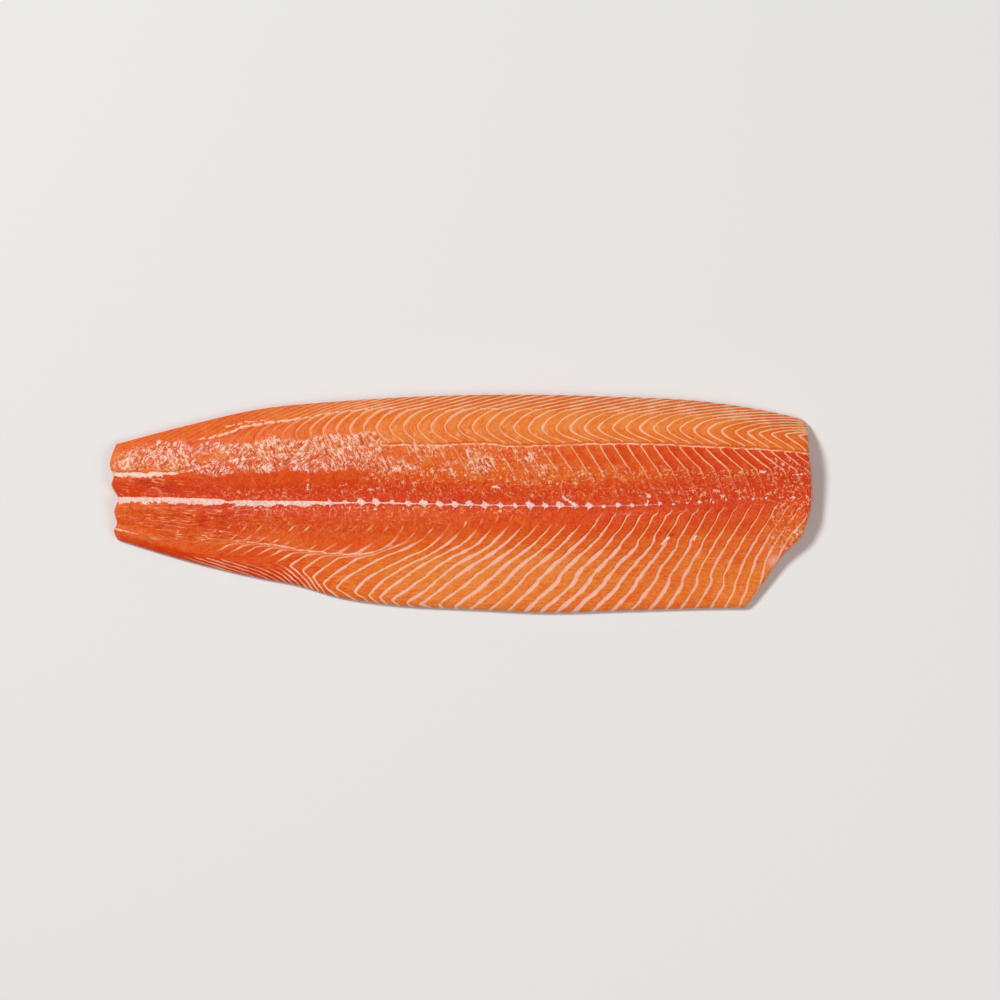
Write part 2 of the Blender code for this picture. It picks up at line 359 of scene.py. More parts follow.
# where the wet film lies; the half widths of the seams and of the backbone's strand; the size of
# its knots; bits of white tissue as x, y to x, y, half width; two spots as x, y and half sizes
surface = {
    "filmTop": [(-281, 36), (-262, 44), (-243, 50), (-221, 51), (-204, 49), (-180, 48), (-150, 50),
                (-89, 56), (-49, 58), (281, 56)],
    "filmBottom": [(-281, 26), (-238, 26), (-197, 20), (-169, 22), (-89, 24), (0, 22), (281, 24)],
    "filmCover": [(-281, 0.35), (-274, 0.75), (-262, 0.9), (-170, 0.9), (-100, 0.85), (-60, 0.7),
                  (-20, 0.52), (30, 0.44), (80, 0.35), (110, 0.2), (140, 0), (281, 0)],
    "midBand": [(-281, 1.9), (-240, 1.8), (-228, 0.9), (-200, 0.45), (-100, 0.45), (0, 0.4),
                (281, 0.36)],
    "lowBand": [(-281, 0.6), (-262, 0.5), (-255, 0), (-192, 0), (-180, 0.4), (-150, 0.55), (-80, 0.55),
                (-55, 0.3), (-40, 0), (281, 0)],
    "backBand": [(-281, 0), (-218, 0), (-200, 0.7), (-180, 0.9), (-150, 0.8), (-110, 0.4), (0, 0.28),
                 (281, 0.22)],
    "twinBand": [(-281, 0), (-196, 0), (-185, 0.55), (-160, 0.55), (-150, 0), (281, 0)],
    "twinLift": [(-281, 5), (-190, 5), (-150, 1.5), (281, 1.5)],
    "spineBand": [(-281, 1.8), (-245, 1.8), (-235, 2.2), (-192, 2.3), (-188.5, 0.5), (-186, 0.5),
                  (-180, 1.75), (-120, 1.65), (-103, 0.7), (-90, 0.5), (-40, 0.42), (20, 0.32),
                  (60, 0.22), (155, 0.2), (170, 0.05), (281, 0.0)],
    "beadSize": [(-281, 0), (-190, 0), (-182, 0.6), (-130, 0.9), (-105, 1.5), (60, 1.6), (110, 1.3),
                 (150, 1.0), (175, 0.7), (281, 0.55)],
    "tissueBits": [(81, 5, 83, 2.6, 0.8), (84, 2.4, 92.5, -3.8, 0.7), (149, 6, 150, 4.6, 1.1),
                   (149.6, 4.4, 148, -2.4, 0.5), (25, 12.4, 30, 11.8, 0.9), (239, 24.8, 243, 24.2, 0.9),
                   (265, 22.0, 275, 23.0, 0.5), (4, 42, 6, 36, 0.8), (6, 34, 5, 29, 0.6),
                   (-125, 32.9, -124, 26, 0.6), (-123, 18, -123.4, 10.4, 0.5),
                   (-92.6, 30.6, -90, 33.2, 0.8), (-50.6, 27.6, -58.6, 23.4, 0.7),
                   (-23.6, 23.2, -22.6, 26.4, 0.7), (2.6, 23, 3.2, 21, 0.7),
                   (-16.2, 25.4, -13, 26.2, 0.8), (-8.4, 27.2, -8, 22.8, 0.6),
                   (-66, 12.0, -74, 9.6, 0.5), (-92, 15.0, -98, 12.6, 0.4),
                   (165.6, -28, 160, -33.4, 0.9), (187.4, -26.8, 185.6, -30, 0.7),
                   (268.8, -20.8, 266, -24, 0.6)],
    "tornSpot": (167.5, -26, 2.6, 1.6),
    "headPatch": (251, -47.5, 6.5, 5),
}


def bandLines(x):
    # the middle of each band of flesh, from the back edge to the belly edge
    rear, tip, mid, spine = sideLines(x, "backSeam", "chevronTip", "midSeam", "spineLine")
    lobe = mid - spine
    return (("strip", rear + 1), ("upperChevron", rear - 2), ("upperChevron", tip),
            ("lowerChevron", 0.6 * tip + 0.4 * mid), ("lowerChevron", mid + 0.4), ("topOfLobe", mid - 1),
            ("middleOfLobe", spine + 0.5 * lobe), ("redBand", spine + 0.27 * lobe),
            ("redBand", spine + 1), ("underSpine", spine - 4), ("redBelly", spine - 17),
            ("topOfBelly", spine - 31), ("middleOfBelly", spine - 46), ("lowBelly", spine - 62),
            ("bellyEdge", spine - 78))


def fleshToneAt(x, y):
    rows = bandLines(x)
    tone = straightThrough(tones[rows[0][0]], x)
    for (_, above), (name, line) in zip(rows, rows[1:]):
        share = ease((above - y) / (above - line))
        tone = tone * (1 - share) + straightThrough(tones[name], x) * share
    return tone


# how thick the specks lie, patch by patch
specks = {
    "middleOfLobe": 1.0,
    "tailSpine": 0.4,
    "headSpine": 0.65,
    "underMidSeam": 0.8,
    "underSpine": 0.3,
    "overMidSeam": 0.35,
    "spineRow": 0.8,
    "headEnd": 0.6,
    "headRow": 0.28,
}


def zones(x, y):
    # where each kind of flesh lies, from 0 to 1
    rear, mid, spine, low, lowTip, edge = sideLines(
        x, "backSeam", "midSeam", "spineLine", "bellySeam", "bellyTip", "bellyEdge")
    lobe = mid - spine
    bellyTop = np.minimum(low, spine - 16)
    part = {"strip": between(y, rear - 1, rear + 1)}
    part["chevrons"] = between(y, mid - 0.6, mid + 0.6) * (1 - part["strip"])
    part["lobe"] = between(y, mid + 0.6, mid - 0.6) * between(y, spine - 0.5, spine + 0.5)
    part["redBand"] = between(y, spine + 0.48 * lobe, spine + 0.26 * lobe) * part["lobe"]
    part["underSpine"] = between(y, spine + 0.5, spine - 0.5) * between(y, bellyTop - 8, spine - 14)
    part["belly"] = between(y, bellyTop + 4, bellyTop - 18)
    part["lowEdge"] = between(y, lowTip + 2, lowTip - 3) * between(x, -110, -150)

    rough = softNoise(x, y, 22, 11) + 0.5 * softNoise(x, y, 9, 12)
    tone = fleshToneAt(x, y) + 0.04 * rough
    # painted shade along the tail's belly edge, where the rounded side turns away from the light
    tone = tone - 0.3 * between(y, edge + 10, edge + 4) * between(x, -110, -160)
    part["tone"] = np.clip(tone, 0, 1)

    film, top, bottom = (straightThrough(surface[n], x) for n in ("filmCover", "filmTop", "filmBottom"))
    film = film * between(y, top + 9, top - 7) * between(y, bottom - 4, bottom + 4)
    film = film * (1 - 0.55 * between(x, -60, -10) * between(y, mid - 1, mid + 2))
    part["film"] = np.clip(film * (0.92 + 0.3 * rough), 0, 1)

    share = (y - spine) / lobe
    patches = {
        "middleOfLobe": bell(share, 0.5, 0.17) * between(x, -100, -50) * (1 - 0.5 * between(x, 60, 140)),
        "tailSpine": bell(share, 0.2, 0.2) * between(x, -230, -180),
        "headSpine": bell(share, 0.12, 0.16) * between(x, 130, 190),
        "underMidSeam": bell(share, 0.85, 0.2) * bell(x, 30, 45),
        "underSpine": part["underSpine"] * between(x, 60, -20) * between(x, -200, -180),
        "overMidSeam": bell(y, mid + 9, 7) * between(x, -90, -50) * between(x, 110, 60),
        "spineRow": bell(y, spine - 4.5, 2.2) * between(x, -194, -182) * between(x, 90, 20),
        "headEnd": between(x, 228, 262) * between(y, mid, mid - 8) * between(y, -46, -34),
        "headRow": bell(y, spine - 6, 4) * between(x, 80, 120),
    }
    speckle = np.maximum.reduce([specks[name] * patch for name, patch in patches.items()])
    part["speckle"] = np.clip(speckle, 0, 1)
    part["streaks"] = np.maximum(bell(x, -214, 50) * between(y, -36, -28) * between(y, 1, -3),
                                 bell(x, -245, 40) * between(y, 2.5, 5) * between(y, 22, 18))
    return part


# the lines of fat: widths in millimetres, and how clearly they show, from 0 to 1
fatLines = {
    "stripWidth": 0.72,
    "headStripExtra": 0.28,
    "chevronWidth": 0.95,
    "tailChevronLess": 0.3,
    "upperChevronExtra": 0.6,
    "chevronTipExtra": 0.55,
    "lobeWidth": 0.85,
    "bellyWidth": 1.05,
    "lowBellyExtra": 1.45,
    "headBellyLess": 0.34,
    "lowEdgeWidth": 0.8,
    "stripShow": 0.92,
    "chevronShow": 0.72,
    "chevronTipShow": 0.2,
    "lobeShow": 0.2,
    "headLobeShow": 0.7,
    "spineShow": 0.2,
    "lowEdgeShow": 0.7,
}


def fatWidthAt(x, y, part, tip, spine, lowTip):
    look = fatLines
    chevron = (look["chevronWidth"] - look["tailChevronLess"] * between(x, -80, -130)
               + look["upperChevronExtra"] * between(y, tip - 2, tip + 2) * between(x, 110, 40)
               + look["chevronTipExtra"] * bell(y, tip, 4) * between(x, 30, 90))
    strip = look["stripWidth"] + look["headStripExtra"] * between(x, 40, 140)
    width = strip * part["strip"] + chevron * part["chevrons"] + look["lobeWidth"] * part["lobe"]
    widening = 0.45 * between(x, -170, -60) + 0.55 * between(x, -50, 60)
    fan = look["bellyWidth"] + look["lowBellyExtra"] * between(y, spine - 14, spine - 46) * widening
    fan = fan * (1 - look["headBellyLess"] * between(x, 150, 210))
    width = width + fan * (y < spine)
    return np.where((y < lowTip) & (x < -40), look["lowEdgeWidth"] + 0.3 * between(x, -150, -120), width)


def fatLook(x, y):
    # width of the fat lines, how clearly they show, and the painted shade on their two sides
    rear, mid, spine, low, lowTip, edge, tip = sideLines(
        x, "backSeam", "midSeam", "spineLine", "bellySeam", "bellyTip", "bellyEdge", "chevronTip")
    look, part, lobe = fatLines, zones(x, y), mid - spine

    chevron = look["chevronShow"] + look["chevronTipShow"] * bell(y, tip, 5) * between(x, 0, 90)
    underMid = between(y, spine + 0.38 * lobe, spine + 0.66 * lobe)
    inLobe = (look["lobeShow"] + look["headLobeShow"] * between(x, -50, 60)) * between(x, -120, -60)
    show = (look["stripShow"] * part["strip"] + chevron * part["chevrons"]
            + part["lobe"] * underMid * inLobe
            + look["spineShow"] * part["lobe"] * (1 - underMid) * between(x, 110, 170))

    # below the spine line only ticks show in rows, until the belly's lines begin
    rows = (0.9 * bell(y, spine - 20.5, 2) * between(x, -25, -60) + bell(y, low + 3.4, 1.8)
            + 0.3 * bell(y, spine - 9, 2) * between(x, 0, -40))
    ticks = np.clip(rows, 0, 1) * (0.85 + 0.8 * softNoise(x, y, 7, 14)) * between(x, 70, 0)
    start = low + 2 + 5 * between(x, -135, -105)
    start = np.where(x < -50, start, spine + straightThrough(fatSheets["bellyStart"], x))
    fadeIn = 8 - 4 * between(x, 60, 120)
    lower = np.maximum(between(y, start + 3, start - fadeIn), ticks * between(y, spine - 1, spine - 5))
    show = np.where(y < spine, lower * (1 - 0.15 * between(x, 110, 200)), show)

    # they fade under the film, at the seams and towards the tail
    show = show * (1 - 0.45 * part["film"]) * (1 - 0.8 * bell(y, mid + 0.5, 1.2) * between(x, -60, 0))
    show = show * (1 - 0.9 * between(x, -186, -200) * (y < spine) * (y > lowTip))
    nearEdge = between(y, edge + 10, edge + 7) * between(x, -230, -200) * look["lowEdgeShow"]
    nearTail = nearEdge + (show - nearEdge) * between(x, -150, -135)
    show = np.where((y < lowTip) & (x < -135), nearTail, show)
    show = show * (1 - between(x, -143, -153) * between(y, lowTip + 10, lowTip + 3) * (y > lowTip))
    show = show * (1 - 0.6 * bell(y, low - 1.2, 2) * between(x, -40, -70))
    show = show * (1 - 0.85 * between(x, -90, -185) * (y > mid) * (y < rear))
    show = show * (1 - 0.85 * between(x, -30, -170) * (y >= rear))

    # how strong the painted shade beside the lines is, and the painted shadow along their tailward side
    stripShade = 0.3 + 0.35 * between(x, 0, 120) + 0.25 * between(x, 120, 200)
    shade = (0.1 + 0.15 * part["chevrons"] + 0.45 * part["lobe"] * between(x, 0, 90)
             + 0.2 * part["belly"] * between(x, 60, 150) + 0.9 * part["lowEdge"]
             + stripShade * part["strip"])
    edgeShade = 0.3 + 0.7 * (y < spine) * between(x, 20, 100) * between(y, spine - 52, spine - 34)
    return {"fatWidth": fatWidthAt(x, y, part, tip, spine, lowTip), "fatShow": np.clip(show, 0, 1),
            "fatShade": np.clip(shade, 0, 1), "fatEdgeShade": np.clip(edgeShade, 0, 1)}


def tissueAway(x, y):
    # millimetres to the nearest bit of white tissue, less than 0 inside it
    away = np.full(np.shape(x), 50.0)
    for x0, y0, x1, y1, half in surface["tissueBits"]:
        along = ((x - x0) * (x1 - x0) + (y - y0) * (y1 - y0)) / ((x1 - x0) ** 2 + (y1 - y0) ** 2)
        along = np.clip(along, 0, 1)
        reach = np.hypot(x - x0 - along * (x1 - x0), y - y0 - along * (y1 - y0))
        away = np.minimum(away, reach - half)
    return away


# the fine shape of the upper face, in millimetres
reliefHeights = {
    "flake": 0.04,    # for each millimetre between two lines of fat
    "midSeam": -0.5,
    "backSeam": -0.25,
    "film": 0.35,
    "redFlesh": 0.2,
    "ripples": 0.18,
    "swells": 0.35,
    "tissue": 0.35,
    "strand": 0.45,
    "besideStrand": -0.4,
    "beads": 0.4,
}


def relief(x, y):
    mid, rear, spine = sideLines(x, "midSeam", "backSeam", "spineLine")
    part, fat = zones(x, y), fatLook(x, y)
    joint, slope = readField(fieldJoint, x, y), readField(fieldSlope, x, y)
    gap = np.minimum(1 / np.maximum(slope, 0.02), 12)
    inFlake = abs(joint - np.floor(joint) - 0.5) * 2
    white = between(x, -130, -190)
    beads = bell(abs(joint - np.round(joint)), 0, 0.2) * bell(y, spine, 1.8) * (1 - white)
    shapes = {
        "flake": gap * (1 - inFlake ** 2) * fat["fatShow"],
        "midSeam": bell(y, mid + 1.2, 0.9),
        "backSeam": bell(y, rear, 1.2),
        "film": part["film"] * (softNoise(x, y, 3.2, 21) + 0.7 * softNoise(x, y, 1.8, 22)),
        "redFlesh": (part["redBand"] + part["underSpine"]) * softNoise(x, y, 2.6, 23),
        "ripples": softNoise(x, y, 6, 24),
        "swells": softNoise(x, y, 28, 25),
        "tissue": between(tissueAway(x, y), 0.8, -0.4),
        "strand": bell(y, spine, 2.2) * white,
        "besideStrand": bell(y, spine - 4.6, 1.6) * white,
        "beads": beads * between(x, 190, 110),
    }
    return sum(reliefHeights[name] * shape for name, shape in shapes.items())


def fromRim(lengthShare, widthShare):
    # rough distance from the outline in millimetres
    length, width = side["roughSize"]
    return np.minimum.reduce([lengthShare * length, (1 - lengthShare) * length,
                              widthShare * width, (1 - widthShare) * width])


def closerAtEnds(steps, amount):
    t = np.linspace(0, 1, steps + 1)
    return t - amount * np.sin(2 * np.pi * t) / (2 * np.pi)


def rimOf(index):
    # the border of a grid of points, anticlockwise from above
    return np.concatenate([index[:, -1], index[-1, -2:0:-1], index[::-1, 0], index[0, 1:-1]])


def gridFaces(index, order):
    corners = [index[:-1, :-1], index[1:, :-1], index[1:, 1:], index[:-1, 1:]]
    return np.stack([corners[i] for i in order], axis=2).reshape(-1, 4).tolist()


def outwardOf(border):
    # the directions away from the outline
    run = np.roll(border, -1, 0) - np.roll(border, 1, 0)
    run = run[:, :2] / np.linalg.norm(run[:, :2], axis=1, keepdims=True)
    outward = np.stack([run[:, 1], -run[:, 0]], axis=1)
    for _ in range(6):
        outward = (np.roll(outward, 1, 0) + 2 * outward + np.roll(outward, -1, 0)) / 4
    return outward / np.linalg.norm(outward, axis=1, keepdims=True)


def sideRings(border):
    # the sides go down to the widest line and turn under in a quarter round
    outward = outwardOf(border)
    foot = np.minimum(side["footRound"], 0.8 * border[:, 2])
    rings = []
    for row in range(1, side["wallRows"] + 1):
        share = row / side["wallRows"]
        z = border[:, 2] + (foot - border[:, 2]) * share
        waver = side["sideWaver"] * softNoise(border[:, 0] + border[:, 1], z * 3, 5, 31)
        out = (waver + side["sideSag"]) * np.sin(np.pi * share) * between(border[:, 2], 4.5, 9)
        rings.append(np.column_stack([border[:, :2] + outward * out[:, None], z]))
    for row in range(1, side["footRows"] + 1):
        angle = 0.5 * np.pi * row / side["footRows"]
        inset = side["footInset"] * (1 - np.cos(angle))
        rings.append(np.column_stack([border[:, :2] - outward * inset, foot * (1 - np.sin(angle))]))
    return rings


def buildFillet():
    shares = [closerAtEnds(*side[name]) for name in ("stepsAlong", "stepsAcross")]
    along, across = np.meshgrid(*shares, indexing="ij")
    x, y = plan(along, across)
    fade = quarterRound(fromRim(along, across), side["reliefFade"])
    top = np.stack([x, y, broadHeight(x, y, along, across) + relief(x, y) * fade], axis=2).reshape(-1, 3)
    index = np.arange(len(top)).reshape(x.shape)
    places, faces = [top], gridFaces(index, (0, 3, 2, 1))
    kinds = [0] * len(faces)

    upper = rimOf(index)
    border = top[upper]
    for ring in sideRings(border):
        lower = sum(len(p) for p in places) + np.arange(len(ring))
        places.append(ring)
        strip = np.stack([upper, np.roll(upper, -1), np.roll(lower, -1), lower], axis=1)[:, ::-1]
        faces += strip.tolist()
        kinds += (border[:, 2] > side["cutSideFrom"]).astype(int).tolist()
        upper = lower

    # the underside is a coarser grid, fanned out to the last ring
    every = side["undersideEvery"]
    shares = [inset + (1 - 2 * inset) * share[::every]
              for inset, share in zip(side["undersideInset"], shares)]
    along, across = np.meshgrid(*shares, indexing="ij")
    x, y = plan(along, across)
    flatRim, fade = side["undersideFade"]
    waver = side["undersideWaver"] * (0.5 + 0.5 * softNoise(x, y, 14, 41))
    z = waver * quarterRound(fromRim(along, across) - flatRim, fade)
    under = sum(len(p) for p in places) + np.arange(x.size).reshape(x.shape)
    places.append(np.stack([x, y, z], axis=2).reshape(-1, 3))
    bottom = gridFaces(under, (0, 1, 2, 3))
    coarse = rimOf(under).tolist()
    for i in range(len(coarse)):
        fine = [int(upper[(i * every + k) % len(upper)]) for k in range(every, -1, -1)]
        bottom.append(fine + [coarse[i], coarse[(i + 1) % len(coarse)]])
    return np.concatenate(places), faces + bottom, kinds + [2] * len(bottom)


def fitToFrame(places):
    # the same box as the solid in the frame
    low, high = (np.array(corner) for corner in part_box("fillet"))
    size = places.max(0) - places.min(0)
    return low + (places - places.min(0)) / size * (high - low)


def blot(x, y, spot):
    # 1 in the middle of a spot given as x, y, half length, half width
    return bell(np.hypot((x - spot[0]) / spot[2], (y - spot[1]) / spot[3]), 0, 1)


def lookAttributes(x, y, z, topZ):
    # what the materials read at each point of the fillet
    part = zones(x, y)
    back, belly = sideLines(x, "backEdge", "bellyEdge")
    # the sheets slant on the cut ends only
    deep = fatSheets["depthSwing"] * between(abs(x), 222, 236)
    look = {
        "joint": readField(fieldJoint, x, y) + deep * np.maximum(0, topZ - z) / 12,
        "gap": 1 / np.maximum(readField(fieldSlope, x, y), 0.03),
        "blotchy": 0.45 + 0.45 * part["redBand"] + 0.4 * part["underSpine"] + 0.3 * part["lobe"],
        "ripple": 0.5 + 0.5 * part["chevrons"] - 0.3 * part["lobe"] - 0.3 * part["underSpine"],
        "headRim": curveThrough(side["headCut"], np.clip((y - back) / (belly - back), 0, 1)) - x,
        "tissueAway": tissueAway(x, y),
        "wetPatch": blot(x, y, surface["headPatch"]),
        "torn": blot(x, y, surface["tornSpot"]),
        **fatLook(x, y),
    }
    for name in ("tone", "film", "speckle", "streaks", "belly"):
        look[name] = part[name]
    for name, line in (("spineAway", "spineLine"), ("midAway", "midSeam"), ("lowAway", "bellySeam"),
                       ("backAway", "backSeam")):
        look[name] = y - sideLine(line, x)
    for name in ("spineBand", "beadSize", "midBand", "lowBand", "backBand", "twinBand"):
        look[name] = straightThrough(surface[name], x)
    look["twinAway"] = look["backAway"] - straightThrough(surface["twinLift"], x)
    return look


def addToScene(name, data):
    made = bpy.data.objects.new(name, data)
    bpy.context.scene.collection.objects.link(made)
    return made


def makeFillet():
    places, faces, kinds = buildFillet()
    mesh = bpy.data.meshes.new("salmonFillet")
    mesh.from_pydata(fitToFrame(places).tolist(), [], faces)
    mesh.polygons.foreach_set("material_index", kinds)
    mesh.shade_smooth()
    x, y, z = places.T
    topZ = np.maximum(z, topAt(x, y))
    for name, values in lookAttributes(x, y, z, topZ).items():
        attribute = mesh.attributes.new(name, "FLOAT", "POINT")
        attribute.data.foreach_set("value", values.astype(np.float32))
    mesh.update()
    return addToScene("salmonFillet", mesh)


# small helpers for wiring nodes; a socket knows the tree that it belongs to
def addNode(tree, kind, inputs=None, **settings):
    made = tree.nodes.new("ShaderNode" + kind)
    for name, value in settings.items():
        setattr(made, name, value)
    for name, value in (inputs or {}).items():
        if isinstance(value, bpy.types.NodeSocket):
            tree.links.new(value, made.inputs[name])
        else:
            made.inputs[name].default_value = value
    return made


def sums(operation, *values):
    tree = next(value.id_data for value in values if isinstance(value, bpy.types.NodeSocket))
    return addNode(tree, "Math", dict(enumerate(values)), operation=operation).outputs[0]


def chained(operation):
    # the same operation over two values or more
    def wire(first, *others):
        for other in others:
            first = sums(operation, first, other)
        return first
    return wire


times, plus, minus, larger = (chained(name) for name in ("MULTIPLY", "ADD", "SUBTRACT", "MAXIMUM"))


def ramp(value, start, end, low=0.0, high=1.0):
    made = addNode(value.id_data, "MapRange", {
        "Value": value, "From Min": start, "From Max": end, "To Min": low, "To Max": high},
        interpolation_type="SMOOTHSTEP")
    return made.outputs["Result"]


def blendColor(share, first, second):
    return addNode(share.id_data, "Mix", {0: share, 6: first, 7: second}, data_type="RGBA").outputs[2]


def blendValue(share, first, second):
    return addNode(share.id_data, "Mix", {0: share, 2: first, 3: second}, data_type="FLOAT").outputs[0]


def inMillimetres(tree, stretch=(1, 1, 1), turn=0.0):
    # the surface's own coordinates, in millimetres, stretched and turned
    where = addNode(tree, "TexCoord").outputs["Object"]
    turned = addNode(tree, "Mapping", {"Vector": where, "Rotation": (0, 0, turn)})
    scale = tuple(1000 * share for share in stretch)
    return addNode(tree, "Mapping", {"Vector": turned.outputs[0], "Scale": scale}).outputs[0]


def noiseNode(where, inputs):
    return addNode(where.id_data, "TexNoise", {"Vector": where, **inputs}, noise_dimensions="4D")


def noise(where, scale, detail=2.0, rough=0.5, distortion=0.0, w=0.0):
    return noiseNode(where, {"W": w, "Scale": scale, "Detail": detail, "Roughness": rough,
                             "Distortion": distortion}).outputs[0]


def shake(where, scale, amount, detail=3.0, rough=0.5, w=0.0):
    # noise about zero
    return times(minus(noise(where, scale, detail, rough, w=w), 0.5), amount)


def newGroup(name, inputs, outputs):
    # every socket holds a number, apart from the one called Color
    group = bpy.data.node_groups.new(name, "ShaderNodeTree")
    for labels, way in ((inputs, "INPUT"), (outputs, "OUTPUT")):
        for label in labels:
            kind = "NodeSocketColor" if label == "Color" else "NodeSocketFloat"
            group.interface.new_socket(label, in_out=way, socket_type=kind)
    return group, group.nodes.new("NodeGroupInput").outputs


def finishGroup(group, results):
    end = group.nodes.new("NodeGroupOutput")
    for name, value in results.items():
        group.links.new(value, end.inputs[name])
    return group


def srgb(*levels):
    # a colour as it is seen, 0 to 255, made linear
    shares = [level / 255 for level in levels]
    return (*(s / 12.92 if s < 0.0404 else ((s + 0.055) / 1.055) ** 2.4 for s in shares), 1.0)


fleshColors = {
    "toneSteps": [(0.0, srgb(212, 56, 9)), (0.2, srgb(221, 73, 15)), (0.4, srgb(228, 89, 22)),
                  (0.6, srgb(232, 107, 34)), (0.8, srgb(237, 124, 43)), (1.0, srgb(239, 141, 67))],
    "thinFat": srgb(254, 196, 150),
    "thickFat": srgb(254, 194, 168),
    "whiteTissue": srgb(254, 220, 208),
    "pinkTissue": srgb(244, 168, 148),
    "seamFat": srgb(255, 206, 172),
    # pale wet tissue, also the colour of the painted highlights on its strokes
    "film": srgb(255, 214, 194),
    # the dark red of the painted shade in the film's wrinkles
    "filmShadeRed": srgb(204, 62, 20),
    # deep red of blood specks, streaks and torn flesh, also used for painted shade
    "deepRedAndShade": srgb(178, 30, 12),
    "brownBand": srgb(150, 84, 66),
    "silverAndSheen": srgb(222, 190, 176),
}

# what lies over the flesh, with painted shade and painted highlights among it: its colour, and how much
# of it
layers = {
    "edgeShade": ("deepRedAndShade", 0.8),
    "streakyFat": ("pinkTissue", 0.45),
    "redSpecks": ("deepRedAndShade", 0.5),
    "strands": ("thinFat", 0.6),
    "whiteSpecks": ("seamFat", 0.8),
    "paleStreaks": ("thinFat", 0.75),
    "redStreaks": ("deepRedAndShade", 0.6),
    "seams": ("seamFat", 0.85),
    "underMidSeam": ("deepRedAndShade", 0.45),
    "wideMidSeam": ("whiteTissue", 0.7),
    "pinkMidSeam": ("pinkTissue", 0.6),
    "filmHaze": ("film", 0.07),
    "filmWrinkleShade": ("filmShadeRed", 0.88),
    "filmStrokesAndGlints": ("film", 0.95),
    "headFilmAndGlints": ("thinFat", 0.5),
    "knotShadow": ("deepRedAndShade", 0.35),
    "torn": ("deepRedAndShade", 0.7),
    "tissue": ("whiteTissue", 0.94),
    "pinkOfTissue": ("pinkTissue", 0.7),
    "headRim": ("seamFat", 0.45),
    "wetPatch": ("film", 0.5),
    "brownBand": ("brownBand", 0.6),
    "silverAndSheen": ("silverAndSheen", 0.3),
}


def makeFatLines():
    # the levels of the joint field as lines of fat; Shade is painted shade that fades out headwards from
    # each line, and EdgeShade is a thin painted shadow along its tailward side
    group, given = newGroup("fatLines", ("Joint", "Gap", "Width", "Show", "Waver", "Broken"),
                            ("Line", "Ridge", "Shade", "EdgeShade", "Thick", "Ripple"))
    where = inMillimetres(group)
    waver = times(shake(where, 0.22, 1.3, 3, 0.6), given["Waver"])
    shifted = plus(given["Joint"], sums("DIVIDE", waver, given["Gap"]))
    nearest = minus(shifted, sums("ROUND", shifted))
    signed = times(nearest, given["Gap"])
    away = sums("ABSOLUTE", signed)
    swell = ramp(noise(where, 0.09, 2, w=3.0), 0.36, 0.64, 0.33, 0.68)
    half = times(given["Width"], swell)
    soft = ramp(half, 0.3, 1.0, 0.2, 0.65)
    line = ramp(away, plus(half, soft), minus(half, soft))
    ridge = ramp(away, plus(half, 1.1), times(half, 0.3))
    fading = ramp(sums("FRACT", shifted), 0.95, 0.1)
    shade = larger(times(ramp(minus(signed, half), -0.2, 0.5), fading),
                   times(ramp(nearest, -0.05, -0.1), fading))
    tailward = minus(times(signed, -1.0), half)
    edgeShade = times(ramp(tailward, -0.3, 0.3), ramp(tailward, 1.3, 0.4))
    holes = ramp(noise(where, 0.33, 2, w=7.0), 0.47, 0.57)
    grain = ramp(noise(where, 0.8, 2, w=8.0), 0.36, 0.56, 0.8, 1.0)
    show = times(given["Show"], minus(1.0, times(holes, given["Broken"])))
    ripple = noise(inMillimetres(group, (0.05, 0.05, 0.05)), 1.0, 2, 0.6, w=times(shifted, 7.0))
    return finishGroup(group, {
        "Line": times(line, grain, show), "Ridge": times(ridge, show), "Shade": times(shade, show),
        "EdgeShade": times(edgeShade, show), "Thick": ramp(half, 0.5, 1.1), "Ripple": minus(ripple, 0.5)})


def makeFleshTone():
    # raw flesh from deep red to pale orange, with patches, soft lumps and long fibres
    group, given = newGroup("fleshTone", ("Tone", "Fibre", "Mottle"), ("Color", "Fibres"))
    where = inMillimetres(group)
    patches = shake(where, 0.1, 0.4, 2)
    lumps = plus(shake(where, 0.3, 0.9, 2, w=2.0), shake(where, 0.75, 1.4, 2, w=2.5))
    fibres = shake(inMillimetres(group, (0.14, 0.8, 1.0), 0.05), 1.0, 1.0, 2, 0.6, w=5.0)
    uneven = plus(patches, times(lumps, given["Mottle"]), times(fibres, given["Fibre"]))
    steps = addNode(group, "ValToRGB", {"Fac": plus(given["Tone"], uneven)})
    first, *inner, last = fleshColors["toneSteps"]
    for element, (place, color) in zip(steps.color_ramp.elements, (first, last)):
        element.position = place
        element.color = color
    for place, color in inner:
        steps.color_ramp.elements.new(place).color = color
    return finishGroup(group, {"Color": steps.outputs["Color"], "Fibres": fibres})


